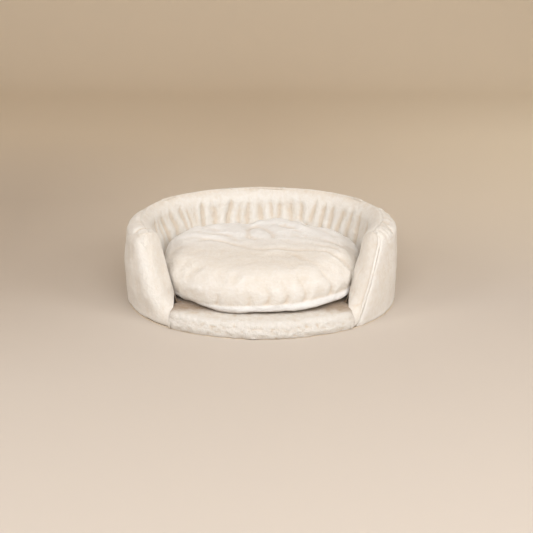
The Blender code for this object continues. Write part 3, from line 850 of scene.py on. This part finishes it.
def core_copy(node, name, inset, voxel):
    """A foam pad made from its plain frame solid: evened out, softened at its edges and set in."""
    made = own_copy(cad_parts[node], name)
    merge_corners(made, 1e-6)
    remesh(made, voxel)
    move_to(made.data, smooth_places(made.data, 3))
    spots = places(made.data)
    move_to(made.data, spots - outward(made.data) * (inset + 0.0004 * rumple(spots, 0.02, 71))[:, None])
    made.data.shade_smooth()
    return made


def shrunk_copy(source, name, inset, voxel, fluff):
    """What lies inside a stuffed piece: its own form, set in and evened out."""
    made = own_copy(source, name)
    even = smooth_places(made.data, 8)
    move_to(made.data, even)
    move_to(made.data, even - outward(made.data) * inset)
    remesh(made, voxel)
    move_to(made.data, smooth_places(made.data, 3))
    spots = places(made.data)
    move_to(made.data, spots + outward(made.data) * (fluff * (rumple(spots, 0.018, 51) - 1))[:, None])
    made.data.shade_smooth()
    return made


# ---- Finishes ----
class Mask:
    """A number that varies over a surface, which takes part in sums."""

    def __init__(self, finish, socket):
        self.finish = finish
        self.socket = socket

    def sum(self, operation, first, second):
        maths = self.finish.node("ShaderNodeMath", {0: first, 1: second}, operation=operation)
        return Mask(self.finish, maths.outputs[0])

    def __add__(self, other):
        return self.sum("ADD", self, other)

    def __mul__(self, other):
        return self.sum("MULTIPLY", self, other)

    __radd__ = __add__
    __rmul__ = __mul__


class Finish:
    """A material being made, with its Principled shader."""

    def __init__(self, name, **constants):
        self.material = bpy.data.materials.new(name)
        self.material.use_nodes = True
        self.tree = self.material.node_tree
        self.shader = self.tree.nodes["Principled BSDF"]
        for socket, value in constants.items():
            self.shader.inputs[socket.replace("_", " ").title()].default_value = value

    def feed(self, socket, value):
        if isinstance(value, Mask):
            self.tree.links.new(value.socket, socket)
        elif isinstance(value, bpy.types.NodeSocket):
            self.tree.links.new(value, socket)
        else:
            socket.default_value = value

    def node(self, kind, sockets=None, stops=None, **settings):
        """Adds a node: its settings first, then a ramp's stops, then the values or links of its sockets."""
        made = self.tree.nodes.new(kind)
        for setting, value in settings.items():
            setattr(made, setting, value)
        for index, (place, colour) in enumerate(stops or ()):
            ramp = made.color_ramp.elements
            stop = ramp[index] if index < 2 else ramp.new(place)
            stop.position = place
            stop.color = colour
        for socket, value in (sockets or {}).items():
            self.feed(made.inputs[socket], value)
        return made

    def spot(self):
        return self.node("ShaderNodeTexCoord").outputs["Object"]

    def stretched(self, scale):
        return self.node("ShaderNodeMapping", {"Vector": self.spot(), "Scale": scale}).outputs[0]

    def noise(self, scale, detail=2.0, roughness=0.5, vector=None, distortion=0.0):
        sockets = {
            "Vector": vector or self.spot(),
            "Scale": scale,
            "Detail": detail,
            "Roughness": roughness,
            "Distortion": distortion,
        }
        return Mask(self, self.node("ShaderNodeTexNoise", sockets).outputs["Fac"])

    def attribute(self, name):
        return Mask(self, self.node("ShaderNodeAttribute", attribute_name=name).outputs["Fac"])

    def within(self, mask, low, high):
        """The mask stretched so that low becomes 0 and high becomes 1, and held there."""
        sockets = {"Value": mask, "From Min": low, "From Max": high}
        made = self.node("ShaderNodeMapRange", sockets, clamp=True)
        return Mask(self, made.outputs[0])

    def blend(self, first, second, share):
        """One colour over another."""
        made = self.node("ShaderNodeMix", data_type="RGBA", blend_type="MIX")
        for socket, value in (("Factor_Float", share), ("A_Color", first), ("B_Color", second)):
            self.feed(next(found for found in made.inputs if found.identifier == socket), value)
        return next(found for found in made.outputs if found.identifier == "Result_Color")

    def bump(self, height, strength, distance):
        sockets = {"Height": height, "Strength": strength, "Distance": distance}
        return self.node("ShaderNodeBump", sockets).outputs["Normal"]

    def cells(self, scale):
        """Small round cells."""
        sockets = {"Vector": self.spot(), "Scale": scale}
        return Mask(self, self.node("ShaderNodeTexVoronoi", sockets).outputs[0])

    def threads(self, direction, pitch):
        """Parallel rounded threads, one after another in this direction."""
        sockets = {"Vector": self.spot(), "Scale": 1 / pitch / 6.28}
        bands = {"wave_type": "BANDS", "bands_direction": direction, "wave_profile": "SIN"}
        return Mask(self, self.node("ShaderNodeTexWave", sockets, **bands).outputs["Fac"])

    def surface(self, colour, normal, roughness=None):
        """Feeds the shader what varies over the surface, and gives the finished material."""
        self.feed(self.shader.inputs["Base Color"], colour)
        self.feed(self.shader.inputs["Normal"], normal)
        if roughness is not None:
            self.feed(self.shader.inputs["Roughness"], roughness)
        return self.material


CREAM = (0.870, 0.822, 0.758, 1)
# Paler pile tips at random, and the painted highlight on the plush's ridges.
CREAM_TIP_AND_HIGHLIGHT = (0.945, 0.925, 0.890, 1)
# Painted shade in the plush's hollows.
PAINTED_HOLLOW_SHADE = (0.700, 0.540, 0.370, 1)
PILE_SHADE = (0.820, 0.750, 0.655, 1)
# Painted sheen on the cushion's top back and on its lower panel at the front.
SHEEN_WHITE = (0.935, 0.932, 0.928, 1)
# Painted shade: dark brown in the crevices, under the cushion and low on the walls.
PAINTED_SHADE_BROWN = (0.330, 0.210, 0.115, 1)


def plush(name, pile=(1.0, 1.0, 0.7), shade=0.5, nap=1.0, with_painted_sheen=False, hollow_shade_share=0.5):
    """Short, dense plush. Its pile lies in patches, with painted shade in the hollows and a painted highlight
    on the ridges.
    """
    made = Finish(name, roughness=0.9, sheen_weight=0.45, sheen_roughness=0.4)
    made.shader.inputs["Sheen Tint"].default_value = (1.0, 0.97, 0.93, 1)
    made.shader.inputs["Specular IOR Level"].default_value = 0.15
    relief = made.attribute("relief")
    hollow_shade = made.within(relief, 0.48, 0.0)
    ridge = made.within(relief, 0.55, 1.0)
    patches = made.noise(34, 3, 0.55, made.stretched(pile), 1.4)
    flecks = made.noise(190, 4, 0.65, made.stretched(pile))
    colour = made.blend(CREAM, PILE_SHADE, made.within(patches, 0.44, 0.66) * shade)
    colour = made.blend(colour, PILE_SHADE, made.within(flecks, 0.48, 0.72) * (0.85 * shade))
    # Painted highlight on the ridges, and paler pile tips at random.
    colour = made.blend(colour, CREAM_TIP_AND_HIGHLIGHT, ridge * 0.55 + made.within(flecks, 0.50, 0.26) * 0.40)
    # Painted sheen: whiter on the cushion's top back and below its seam at the front.
    if with_painted_sheen:
        colour = made.blend(colour, SHEEN_WHITE, made.attribute("painted_sheen_top") * 0.85)
        colour = made.blend(colour, SHEEN_WHITE, made.attribute("band") * 0.85)
    # Painted shade: warm tan in the hollows.
    colour = made.blend(colour, PAINTED_HOLLOW_SHADE, hollow_shade * hollow_shade_share)
    # Painted shade where the pieces meet and under the cushion.
    colour = made.blend(colour, PAINTED_SHADE_BROWN, made.attribute("painted_shade") * 0.85)
    tufts = made.noise(340, 3, 0.65, made.stretched(pile)) + 0.9 * made.noise(130, 3, 0.6)
    return made.surface(colour, made.bump(tufts, 0.65 * nap, 0.0034), 0.80 + 0.15 * patches)


def lining_finish():
    made = Finish("lining_felt", roughness=0.92)
    fibres = made.noise(900, 3, 0.7, made.stretched((1, 0.25, 1)))
    colour = made.blend((0.74, 0.62, 0.48, 1), (0.86, 0.76, 0.62, 1), fibres)
    return made.surface(colour, made.bump(made.cells(420) + 0.4 * fibres, 0.5, 0.0006))


def foam_finish():
    made = Finish("yellow_foam", roughness=0.95)
    cells = made.cells(900)
    mottled = made.within(cells + 0.4 * made.noise(30, 3), 0.1, 0.9)
    colour = made.blend((0.70, 0.60, 0.34, 1), (0.88, 0.80, 0.55, 1), mottled)
    return made.surface(colour, made.bump(cells, 0.7, 0.0008))


def fibre_finish():
    made = Finish("white_fibre", roughness=1.0, sheen_weight=0.3)
    strands = made.noise(260, 6, 0.75, made.stretched((1.0, 0.5, 1.4)), 1.5)
    colour = made.blend((0.72, 0.72, 0.70, 1), (0.93, 0.93, 0.91, 1), made.within(strands, 0.3, 0.7))
    return made.surface(colour, made.bump(strands, 0.9, 0.003))


def woven_finish(name, dark, light, pitch):
    """A plain weave: two crossed sets of threads."""
    made = Finish(name, roughness=0.75)
    weave = made.threads("X", pitch) * made.threads("Z", pitch) + 0.3 * made.noise(700, 2)
    colour = made.blend(dark, light, made.within(weave, 0.0, 1.0))
    return made.surface(colour, made.bump(weave, 0.4, 0.0003))


def coil_finish():
    """Nylon coil: close turns across the zip."""
    made = Finish("zip_coil_nylon", roughness=0.35)
    turns = made.threads("X", 0.0016)
    colour = made.blend((0.42, 0.36, 0.28, 1), (0.90, 0.85, 0.76, 1), turns)
    return made.surface(colour, made.bump(turns, 1.0, 0.0006))


def metal_finish():
    made = Finish("zip_nickel", metallic=1.0, roughness=0.3)
    wear = made.noise(600, 4, 0.65)
    colour = made.blend((0.50, 0.48, 0.44, 1), (0.78, 0.76, 0.71, 1), wear)
    return made.surface(colour, made.bump(wear, 0.15, 0.0002), 0.22 + 0.25 * wear)


def dress(piece, material):
    piece.data.materials.clear()
    piece.data.materials.append(material)


# ---- Studio ----
def make_studio():
    deselect_all()
    floor_colour = (0.665, 0.600, 0.535, 1)
    back_colour = (0.820, 0.715, 0.575, 1)
    # A painted pool of light on the right of the backdrop.
    right_painted_light = (0.990, 0.900, 0.750, 1)
    # A painted shadow on the floor to the left of the bed.
    left_painted_shadow = (0.530, 0.450, 0.370, 1)
    paper_middle = (0, -1.2, 0)
    paper_size = (9, 7.6)
    near_back = 2.5
    bpy.ops.mesh.primitive_plane_add(size=1)
    floor = bpy.context.active_object
    floor.name = "studio_floor"
    floor.data.transform(Matrix.Translation(paper_middle) @ Matrix.Diagonal((*paper_size, 1, 1)))
    pick(floor)
    bpy.ops.object.mode_set(mode="EDIT")
    mesh = bmesh.from_edit_mesh(floor.data)
    for edge in mesh.edges:
        edge.select_set(all(corner.co.y > near_back for corner in edge.verts))
    bmesh.update_edit_mesh(floor.data)
    bpy.ops.mesh.extrude_region_move(TRANSFORM_OT_translate={"value": (0, 0.6, 3.0)})
    bpy.ops.object.mode_set(mode="OBJECT")
    bend = floor.modifiers.new("bend", "BEVEL")
    bend.width = 0.7
    bend.segments = 24
    bend.limit_method = "ANGLE"
    bend.use_clamp_overlap = False
    apply_modifiers(floor)
    floor.data.shade_smooth()
    made = Finish("studio_paper", roughness=0.9)
    parts = made.node("ShaderNodeSeparateXYZ", {0: made.spot()})
    depth = Mask(made, parts.outputs["Y"])
    back = made.within(depth, 0.0, 1.3)
    sideways = Mask(made, parts.outputs["X"])
    # Where the painted light lies: the right of the backdrop.
    right = made.within(sideways, 0.0, 0.9) * back * made.within(depth, 2.6, 1.4)
    # Where the painted shadow lies: on the floor to the left of the bed.
    left = made.within(sideways, -0.20, -0.65) * made.within(depth, -0.45, 0.05)
    left = left * made.within(depth, 1.4, 0.7)
    colour = made.blend(floor_colour, back_colour, back)
    colour = made.blend(colour, right_painted_light, right)
    colour = made.blend(colour, left_painted_shadow, left * 0.6)
    made.feed(made.shader.inputs["Base Color"], colour)
    made.feed(made.shader.inputs["Roughness"], 0.85 + 0.1 * made.noise(3))
    dress(floor, made.material)


def soft_light(name, spot, target, size, power, colour):
    lamp = bpy.data.lights.new(name, "AREA")
    lamp.shape = "RECTANGLE"
    lamp.size, lamp.size_y = size
    lamp.energy = power
    lamp.color = colour
    made = bpy.data.objects.new(name, lamp)
    bpy.context.scene.collection.objects.link(made)
    made.location = spot
    made.rotation_euler = (Vector(target) - Vector(spot)).to_track_quat("-Z", "Y").to_euler()
    return made


def make_lights():
    aim = (0, 0, 0.1)
    soft_light("key_overhead", (0.15, -2.0, 2.15), aim, (2.6, 1.8), 49, (1.0, 0.995, 0.985))
    soft_light("fill_left", (-2.2, -1.6, 1.5), aim, (1.2, 1.4), 23, (1.0, 0.99, 0.975))
    soft_light("fill_right", (2.2, -1.6, 1.5), aim, (1.2, 1.4), 28, (1.0, 0.99, 0.98))
    world = bpy.data.worlds.new("studio_air")
    bpy.context.scene.world = world
    world.use_nodes = True
    air = world.node_tree.nodes["Background"]
    air.inputs["Color"].default_value = (1.0, 0.985, 0.965, 1)
    air.inputs["Strength"].default_value = 0.44


def make_camera():
    elevation = radians(21)
    distance = 3.0
    aim = Vector((0, 0, 0.08))
    view = bpy.data.cameras.new("camera")
    view.lens = 90.2
    view.sensor_width = 36
    view.shift_x = 0.0092
    view.shift_y = -0.0045
    made = bpy.data.objects.new("camera", view)
    bpy.context.scene.collection.objects.link(made)
    made.location = aim + distance * Vector((0, -cos(elevation), sin(elevation)))
    made.rotation_euler = (pi / 2 - elevation, 0, 0)
    bpy.context.scene.camera = made


make_studio()
make_lights()
make_camera()
bpy.context.scene.view_settings.view_transform = "Standard"

# ---- Build the bed ----
hidden_hem = 0.022
wall_outer = make_wall_panel("wall_plush_outer", 450, 92, RIM_LINE, ARCH_LENGTH, PLUSH)
wall_inner = make_wall_panel("wall_plush_inner", 430, 74, hidden_hem, RIM_LINE, THIN_PLUSH)
wall_right = make_wall_end(1, wrap=0.0, fullness=0.16, ridge=0.0022)
wall_left = make_wall_end(-1, wrap=LEAF_LAP, fullness=0.17, ridge=0.0)
base = make_base()
cushion = make_cushion()
bag = shrunk_copy(cushion, "cushion_bag", inset=0.0060, voxel=0.006, fluff=0.0008)
filling = shrunk_copy(cushion, "cushion_fibre", inset=0.0085, voxel=0.007, fluff=0.0020)
wadding = make_wall_core("wall_fibre", inset=0.0062, end_inset=0.006, fluff=0.0006)
wall_block = make_wall_core("wall_foam_block", inset=0.0125, end_inset=0.010, fluff=0.0004)
base_pad = core_copy("base_foam", "base_foam_pad", inset=0.0028, voxel=0.006)
mark_relief(cushion, rounds=60, depth=0.0030)

wall_plush = plush("cream_plush_wall", (1, 1, 0.45), 0.5)
gathered_plush = plush("cream_plush_gathered", (1, 1, 0.35), 0.6, hollow_shade_share=0.36)
base_plush = plush("cream_plush_base", (1, 1, 1), 0.85, 1.4, hollow_shade_share=0.6)
cushion_plush = plush("cream_plush_cushion", (0.8, 1, 1), 0.45, with_painted_sheen=True, hollow_shade_share=0.32)
bag_cloth = woven_finish("bag_cloth", (0.70, 0.69, 0.66, 1), (0.88, 0.87, 0.84, 1), 0.0012)
fibre = fibre_finish()
foam = foam_finish()

# Each piece with the frame nodes that it stands for, its body, its slot, its material and how full it is.
for piece, nodes, body, slot, material, fill in (
    (wall_outer, ["wall_cover_outer"], "bed", "plush", wall_plush, 0.8),
    (wall_inner, ["wall_cover_inner"], "bed", "plush", gathered_plush, 0.7),
    (wall_right, ["wall_end_right"], "bed", "plush", wall_plush, 0.8),
    (wall_left, ["wall_end_left"], "bed", "plush", wall_plush, 0.8),
    (base, ["base_cover"], "bed", "plush", base_plush, 0.9),
    (cushion, ["cushion_cover_top", "cushion_cover_bottom"], "cushion", "plush", cushion_plush, 0.65),
    (bag, ["cushion_bag_upper", "cushion_bag_lower"], "cushion", "bag_cloth", bag_cloth, 0.65),
    (filling, ["cushion_filling"], "cushion", "fibre", fibre, 0.65),
    (wadding, ["wall_wadding"], "bed", "fibre", fibre, 0.9),
    (wall_block, ["wall_foam"], "bed", "foam", foam, 0.9),
    (base_pad, ["base_foam"], "bed", "foam", foam, 0.9),
):
    dress(piece, material)
    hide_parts(*nodes)
    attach(piece, body)

tape = woven_finish("zip_tape_cloth", (0.62, 0.54, 0.43, 1), (0.84, 0.76, 0.64, 1), 0.0006)
coil = coil_finish()
metal = metal_finish()
for node, material in (
    ("underside_lining", lining_finish()),
    ("zip_tape_upper", tape),
    ("zip_tape_lower", tape),
    ("zip_coil_upper", coil),
    ("zip_coil_lower", coil),
    ("zip_stop_left", coil),
    ("zip_stop_right", coil),
    ("zip_slider", metal),
    ("zip_pull", metal),
):
    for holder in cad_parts[node].material_slots:
        holder.material = material
